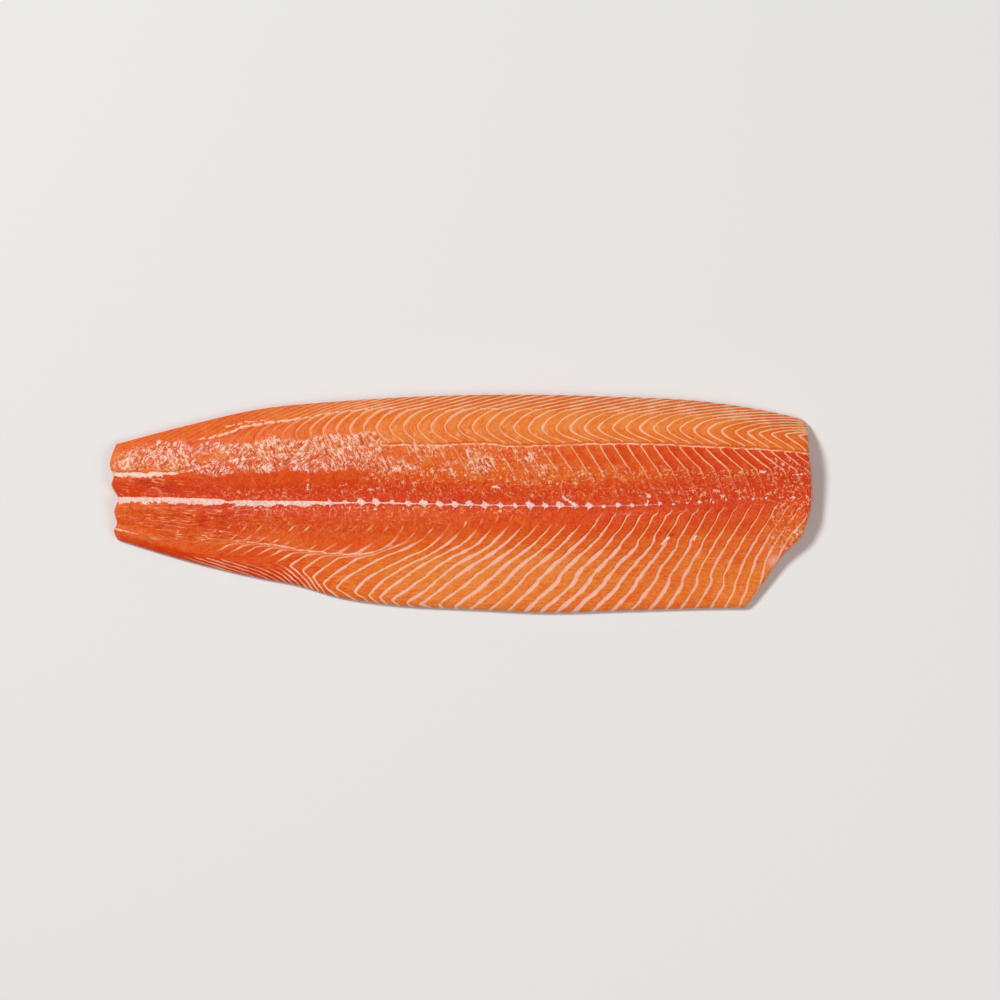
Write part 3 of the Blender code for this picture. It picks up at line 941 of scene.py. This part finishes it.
def makeWetFilm():
    # crinkled wet tissue: short pale strokes, part pale tissue and part painted highlight,
    # lying among dark strokes of painted shade in the wrinkles, over a thin haze
    group, given = newGroup("wetFilm", ("Film",), ("Shine", "WrinkleShade", "Haze", "Height"))
    where = inMillimetres(group)
    headward = ramp(addNode(group, "SeparateXYZ", {0: where}).outputs["X"], -130, -90)
    leaning = larger(headward, ramp(noise(where, 0.07, 1, w=12.0), 0.47, 0.53))
    # the strokes lean one way or the other
    oneWay, otherWay = (noise(inMillimetres(group, (1.0, 0.4, 1.0), turn), 0.6, 2, 0.6, 0.7, w=w)
                        for turn, w in ((0.7, 1.0), (-0.5, 4.0)))
    strokes = blendValue(leaning, oneWay, otherWay)
    field = plus(times(strokes, 0.8), times(noise(where, 0.9, 2, 0.6, w=6.0), 0.2))
    lumps = noise(where, 0.1, 3, 0.6, w=9.0)
    start = ramp(given["Film"], 0.0, 1.0, 0.7, 0.16)
    cover = times(ramp(lumps, start, plus(start, 0.2)), ramp(given["Film"], 0.02, 0.12))
    spark = ramp(noise(where, 0.2, 2, w=10.0), 0.4, 0.58, 0.5, 1.0)
    return finishGroup(group, {
        "Shine": times(ramp(field, 0.495, 0.56), cover, spark), "Haze": cover,
        "WrinkleShade": times(ramp(field, 0.47, 0.4), cover), "Height": times(ramp(field, 0.38, 0.62), cover)})


groups = {"fatLines": makeFatLines(), "fleshTone": makeFleshTone(), "wetFilm": makeWetFilm()}


def useGroup(tree, name, inputs):
    return addNode(tree, "Group", inputs, node_tree=groups[name]).outputs


def read(tree, name):
    return addNode(tree, "Attribute", attribute_name=name).outputs["Fac"]


def band(away, half, soft=0.3):
    return ramp(sums("ABSOLUTE", away), plus(half, soft), minus(half, soft))


def tint(color, share, layer):
    # lays a layer over the colour below it, where share is high
    name, amount = layers[layer]
    return blendColor(times(share, amount), color, fleshColors[name])


def dots(where, scale, size, kept, w):
    # ragged specks of uneven size, in the given share of the cells
    tree = where.id_data
    moved = noiseNode(where, {"W": w, "Scale": 0.7, "Detail": 1.0}).outputs["Color"]
    for operation, other in (("SUBTRACT", {1: (0.5, 0.5, 0.5)}), ("SCALE", {"Scale": 5.0}),
                             ("ADD", {1: where})):
        moved = addNode(tree, "VectorMath", {0: moved, **other}, operation=operation).outputs[0]
    cells = addNode(tree, "TexVoronoi", {"Vector": moved, "W": w, "Scale": scale},
                    voronoi_dimensions="4D")
    chance = addNode(tree, "SeparateColor", {"Color": cells.outputs["Color"]}).outputs["Red"]
    reach = ramp(chance, 1 - kept, 1.0, 0.0, size)
    return ramp(cells.outputs["Distance"], reach, minus(reach, 0.12))


def curls(where, scale, thin, w):
    # short curved strands, along the places where a noise passes its middle
    passing = sums("ABSOLUTE", minus(noise(where, scale, 1, w=w), 0.5))
    kept = ramp(noise(where, 2.0 * scale, 2, w=w + 0.5), 0.48, 0.58)
    return times(ramp(passing, thin, 0.4 * thin), kept)


def star(along, across, wide, tall, power=0.8):
    # a four-pointed blot, 1 inside
    lengthwise, sideways = (sums("POWER", sums("DIVIDE", sums("ABSOLUTE", away), size), power)
                            for away, size in ((along, wide), (across, tall)))
    return ramp(plus(lengthwise, sideways), 1.2, 0.75)


def spineTissue(tree, where, joint, gap, spineAway):
    # white tissue left on the backbone's line: a thin strand, and a ragged knot at each joint
    number = sums("ROUND", joint)
    chance = addNode(tree, "TexWhiteNoise", {"W": number}, noise_dimensions="1D")
    chance = addNode(tree, "SeparateColor", {"Color": chance.outputs["Color"]}).outputs
    ragged = [plus(shake(where, 0.45, 3.2, 2, 0.6, w), shake(where, 1.1, 1.8, 1, 0.5, w))
              for w in (19.0, 21.0)]
    along = plus(times(minus(joint, number), gap), ragged[0])
    across = plus(spineAway, ragged[1])
    size = times(read(tree, "beadSize"), ramp(chance["Red"], 0, 1, 0.7, 1.15))
    there = ramp(size, 0.1, 0.4)
    knot = star(along, minus(across, ramp(chance["Green"], 0, 1, -0.3, 1.1)), times(size, 2.0),
                times(size, 1.7), 1.25)
    tails = star(along, across, times(size, 4.2), times(size, 0.7), 0.7)
    spike = star(plus(along, ramp(chance["Blue"], 0, 1, -0.8, 0.8)), across, times(size, 0.6),
                 times(size, 3.0), 0.9)
    knots = times(larger(knot, larger(tails, spike)), there)

    # the strand, straight along its upper side and lumpy along the lower one
    half = read(tree, "spineBand")
    uneven = ramp(noise(where, 0.15, 3, 0.65, w=20.0), 0.36, 0.66, 0.5, 2.2)
    lower = times(half, blendValue(ramp(half, 1.95, 2.15, 0, 0.65), uneven, 1.0))
    frayed = plus(spineAway, times(ragged[0], 0.6))
    above = ramp(frayed, plus(half, 0.28), minus(half, 0.28))
    below = ramp(times(frayed, -1.0), plus(lower, 0.28), minus(lower, 0.28))
    strand = times(above, below, ramp(half, 0.1, 0.3))
    halo = star(along, across, times(size, 4.6), times(size, 3.4))
    return larger(strand, knots), times(halo, there)


# how wet and how soft each side looks, and what holds for all three
fleshFinish = {
    "fleshSide": {"Roughness": 0.42, "Coat Weight": 0.16, "Subsurface Weight": 0.05},
    "cutEnds": {"Roughness": 0.38, "Coat Weight": 0.3, "Subsurface Weight": 0.15},
    "skinnedSide": {"Roughness": 0.4, "Coat Weight": 0.3, "Subsurface Weight": 0.15},
    "all": {"IOR": 1.36, "Specular IOR Level": 0.32, "Coat Roughness": 0.14, "Coat IOR": 1.33,
            "Subsurface Radius": (1.0, 0.35, 0.2), "Subsurface Scale": 0.0014},
}


def newMaterial(name):
    material = bpy.data.materials.new(name)
    material.use_nodes = True
    shader = material.node_tree.nodes["Principled BSDF"]
    for label, value in {**fleshFinish["all"], **fleshFinish[name]}.items():
        shader.inputs[label].default_value = value
    return material, material.node_tree, shader


def linkSurface(tree, shader, color, depth, heights):
    # the colour, and heights with the share of each as fine bumps, their depth in metres
    parts = [times(source, amount) for source, amount in heights]
    bump = addNode(tree, "Bump", {"Strength": 1.0, "Distance": depth, "Height": plus(*parts)})
    tree.links.new(color, shader.inputs["Base Color"])
    tree.links.new(bump.outputs[0], shader.inputs["Normal"])


def fleshSide():
    material, tree, shader = newMaterial("fleshSide")
    where = inMillimetres(tree)
    joint, gap, film, speckle, belly, backAway = (
        read(tree, n) for n in ("joint", "gap", "film", "speckle", "belly", "backAway"))

    fat = useGroup(tree, "fatLines", {
        "Joint": joint, "Gap": gap, "Width": read(tree, "fatWidth"), "Show": read(tree, "fatShow"),
        "Waver": ramp(belly, 0, 1, 0.8, 1.3), "Broken": speckle})
    # painted shade on each flake beside its fat line lowers the tone
    tone = minus(read(tree, "tone"), times(fat["Shade"], read(tree, "fatShade"), 0.5))
    tone = plus(tone, times(fat["Ripple"], read(tree, "ripple")))
    flesh = useGroup(tree, "fleshTone", {
        "Tone": tone, "Fibre": ramp(belly, 0, 1, 0.3, 1.25), "Mottle": read(tree, "blotchy")})
    # a thin painted shadow along the tailward side of each fat line
    color = tint(flesh["Color"], times(fat["EdgeShade"], read(tree, "fatEdgeShade")), "edgeShade")
    fatColor = blendColor(fat["Thick"], fleshColors["thinFat"], fleshColors["thickFat"])
    fatColor = blendColor(ramp(backAway, 0, 3, 0.0, 0.35), fatColor, fleshColors["seamFat"])
    streaky = ramp(noise(where, 0.45, 3, 0.6, w=40.0), 0.5, 0.62)
    fatColor = tint(fatColor, times(streaky, fat["Thick"]), "streakyFat")
    color = blendColor(fat["Line"], color, fatColor)

    # specks of white tissue and of blood along the middle
    whiteSpecks = times(dots(where, 0.35, 0.6, 0.4, 11.0), ramp(speckle, 0.15, 0.6))
    redSpecks = times(dots(where, 0.3, 0.65, 0.5, 13.0), ramp(speckle, 0.1, 0.7))
    strands = times(curls(where, 0.24, 0.06, 14.0), ramp(speckle, 0.1, 0.6))
    color = tint(color, redSpecks, "redSpecks")
    color = tint(color, strands, "strands")
    color = tint(color, whiteSpecks, "whiteSpecks")

    # long streaks in the tail, pale ones and red ones
    pale = noise(inMillimetres(tree, (0.03, 0.42, 1.0), 0.08), 1.0, 1, 0.5, 0.2, w=27.0)
    pale = ramp(sums("ABSOLUTE", minus(pale, 0.53)), 0.03, 0.01)
    pale = times(pale, ramp(noise(where, 0.12, 2, w=28.0), 0.42, 0.6))
    color = tint(color, times(pale, read(tree, "streaks")), "paleStreaks")
    red = ramp(noise(inMillimetres(tree, (0.1, 0.6, 1.0), 0.08), 1.0, 2, 0.6, w=30.0), 0.49, 0.4)
    color = tint(color, times(red, read(tree, "streaks")), "redStreaks")

    # the seams
    waver = plus(shake(where, 0.15, 3.0, 2, w=17.0), shake(where, 0.5, 1.2, 2, w=17.5))
    for away, bandName, least, most, w in ((read(tree, "lowAway"), "lowBand", 0.6, 1.15, 16.0),
                                           (backAway, "backBand", 0.2, 1.6, 33.0),
                                           (read(tree, "twinAway"), "twinBand", 0.2, 1.6, 35.0)):
        half = times(read(tree, bandName), ramp(noise(where, 0.3, 3, 0.7, w=w), 0.4, 0.62, least, most))
        color = tint(color, times(band(plus(away, waver), half), ramp(half, 0.15, 0.5)), "seams")
    midAway = plus(read(tree, "midAway"), waver)
    # a thin dark red painted shadow line just above the mid seam's groove
    color = tint(color, ramp(sums("ABSOLUTE", minus(midAway, 1.5)), 0.85, 0.15), "underMidSeam")
    midHalf = times(read(tree, "midBand"), ramp(noise(where, 0.25, 2, w=18.0), 0.38, 0.6, 0.55, 1.2))
    midLine = times(band(midAway, midHalf), ramp(midHalf, 0.05, 0.4))
    clearOfFilm = ramp(plus(film, shake(where, 0.25, 2.5, 2, w=38.0)), 0.9, 0.3)
    midLine = times(midLine, larger(ramp(midHalf, 0.7, 1.1), clearOfFilm))
    color = tint(color, midLine, "seams")
    wideBand = times(midLine, ramp(midHalf, 0.8, 1.3))
    color = tint(color, wideBand, "wideMidSeam")
    pinker = ramp(noise(where, 0.5, 3, 0.6, w=26.0), 0.46, 0.6)
    color = tint(color, times(wideBand, pinker), "pinkMidSeam")

    # the wet film: pale strokes that are part pale tissue and part painted highlight, among dark red
    # painted shade in the wrinkles; the strokes are yellower towards the head
    wet = useGroup(tree, "wetFilm", {"Film": film})
    color = tint(color, wet["Haze"], "filmHaze")
    color = tint(color, wet["WrinkleShade"], "filmWrinkleShade")
    color = tint(color, wet["Shine"], "filmStrokesAndGlints")
    headward = ramp(addNode(tree, "SeparateXYZ", {0: where}).outputs["X"], -130, -70)
    color = tint(color, times(wet["Shine"], headward), "headFilmAndGlints")

    tissue, halo = spineTissue(tree, where, joint, gap, read(tree, "spineAway"))
    color = tint(color, halo, "knotShadow")
    color = tint(color, read(tree, "torn"), "torn")
    bits = plus(read(tree, "tissueAway"), shake(where, 0.6, 3.0, 2, w=24.0))
    tissue = larger(tissue, ramp(bits, 0.35, -0.25))
    color = tint(color, tissue, "tissue")
    pinker = ramp(noise(where, 0.55, 3, 0.6, w=25.0), 0.43, 0.58)
    color = tint(color, times(tissue, pinker), "pinkOfTissue")

    # the head cut's rim is paler
    rim = ramp(plus(read(tree, "headRim"), waver), 1.5, 0.3)
    color = tint(color, times(rim, ramp(noise(where, 0.3, 2, w=39.0), 0.42, 0.6)), "headRim")
    color = tint(color, read(tree, "wetPatch"), "wetPatch")

    shiny = times(larger(wet["Shine"], whiteSpecks), 0.5)
    roughness = ramp(plus(noise(where, 0.3, 3, w=23.0), shiny), 0.35, 1.0, 0.5, 0.22)
    tree.links.new(roughness, shader.inputs["Roughness"])
    tree.links.new(ramp(backAway, 2, -3, 0.02, 0.16), shader.inputs["Coat Weight"])
    linkSurface(tree, shader, color, 0.0004, (
        (wet["Height"], 0.6), (flesh["Fibres"], 0.2), (fat["Ridge"], 0.12), (tissue, 0.5),
        (whiteSpecks, 0.4), (noise(where, 0.5, 3, 0.6, w=29.0), 0.6)))
    return material


# the cut ends and the underside have plain fat lines
plainSides = {
    "cutEnds": {"fibre": 0.25, "mottle": 0.8, "fatWidth": 1.2, "fatShow": 0.85, "fatAmount": 0.85,
                "waver": 1.2, "lumps": (0.4, 31.0), "lumpHeight": 0.4, "ridgeHeight": 0.3},
    "skinnedSide": {"fibre": 0.2, "mottle": 0.5, "fatWidth": 2.2, "fatShow": 0.6, "fatAmount": 0.8,
                    "waver": 1.6, "lumps": (0.35, 43.0), "lumpHeight": 0.35, "ridgeHeight": 0.15},
}


def plainSide(name):
    look = plainSides[name]
    material, tree, shader = newMaterial(name)
    where = inMillimetres(tree)
    tone = ramp(read(tree, "tone"), 0, 1, 0.3, 0.75) if name == "cutEnds" else 0.5
    flesh = useGroup(tree, "fleshTone", {"Tone": tone, "Fibre": look["fibre"], "Mottle": look["mottle"]})
    fat = useGroup(tree, "fatLines", {
        "Joint": read(tree, "joint"), "Gap": read(tree, "gap"), "Width": look["fatWidth"],
        "Show": look["fatShow"], "Waver": look["waver"], "Broken": 0.3})
    color = blendColor(times(fat["Line"], look["fatAmount"]), flesh["Color"], fleshColors["thinFat"])
    if name == "skinnedSide":
        # the brownish band under the skin, and a silvery bloom: the silvery lining, with its sheen
        # painted in
        wander = shake(where, 0.1, 12, w=37.0)
        lateral = ramp(sums("ABSOLUTE", plus(read(tree, "spineAway"), wander)), 16, 5)
        color = tint(color, lateral, "brownBand")
        bloom = ramp(noise(inMillimetres(tree, (0.3, 1, 1)), 0.12, 4, 0.6, w=41.0), 0.5, 0.7)
        color = tint(color, bloom, "silverAndSheen")
    scale, w = look["lumps"]
    linkSurface(tree, shader, color, 0.0005, (
        (noise(where, scale, 4, 0.6, w=w), look["lumpHeight"]), (fat["Ridge"], look["ridgeHeight"])))
    return material


fillet = makeFillet()
for material in (fleshSide(), plainSide("cutEnds"), plainSide("skinnedSide")):
    fillet.data.materials.append(material)
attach(fillet, "root")
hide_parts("fillet")
print("fillet made:", len(fillet.data.vertices), "points")

studio = {
    "floorSize": 8.0,
    "floorDrop": 0.0004,
    "floorColor": srgb(234, 233, 231),
    "floorRoughness": 0.7,
    "cameraHeight": 8.0,
    "cameraPlace": (0.0311, 0.0029),
    "viewWidth": 0.8,
    "sensorWidth": 36,
    "world": 0.2,
    # place, size, power
    "keyLight": ((-2.5, 1.8, 4.7), 1.1, 222),
    "fillLight": ((2.0, -1.4, 2.5), 1.8, 31),
}


def addLight(name):
    place, size, power = studio[name]
    light = bpy.data.lights.new(name, "AREA")
    light.size = size
    light.energy = power
    lamp = addToScene(name, light)
    lamp.location = place
    lamp.rotation_euler = (Vector((0, 0, 0)) - Vector(place)).to_track_quat("-Z", "Y").to_euler()


def setStudio():
    half = studio["floorSize"] / 2
    corners = [(-half, -half, 0), (half, -half, 0), (half, half, 0), (-half, half, 0)]
    mesh = bpy.data.meshes.new("floor")
    mesh.from_pydata(corners, [], [(0, 1, 2, 3)])
    material = bpy.data.materials.new("paleFloor")
    material.use_nodes = True
    shader = material.node_tree.nodes["Principled BSDF"]
    shader.inputs["Base Color"].default_value = studio["floorColor"]
    shader.inputs["Roughness"].default_value = studio["floorRoughness"]
    mesh.materials.append(material)
    floor = addToScene("floor", mesh)
    floor.location.z = -studio["floorDrop"]

    addLight("keyLight")
    addLight("fillLight")
    world = bpy.data.worlds.new("softRoom")
    world.use_nodes = True
    world.node_tree.nodes["Background"].inputs["Color"].default_value = (1, 1, 1, 1)
    world.node_tree.nodes["Background"].inputs["Strength"].default_value = studio["world"]
    bpy.context.scene.world = world

    lens = bpy.data.cameras.new("overhead")
    lens.sensor_width = studio["sensorWidth"]
    lens.lens = studio["sensorWidth"] * studio["cameraHeight"] / studio["viewWidth"]
    camera = addToScene("overhead", lens)
    camera.location = (*studio["cameraPlace"], studio["cameraHeight"])
    bpy.context.scene.camera = camera
    bpy.context.scene.view_settings.view_transform = "Standard"


setStudio()
print("studio set")
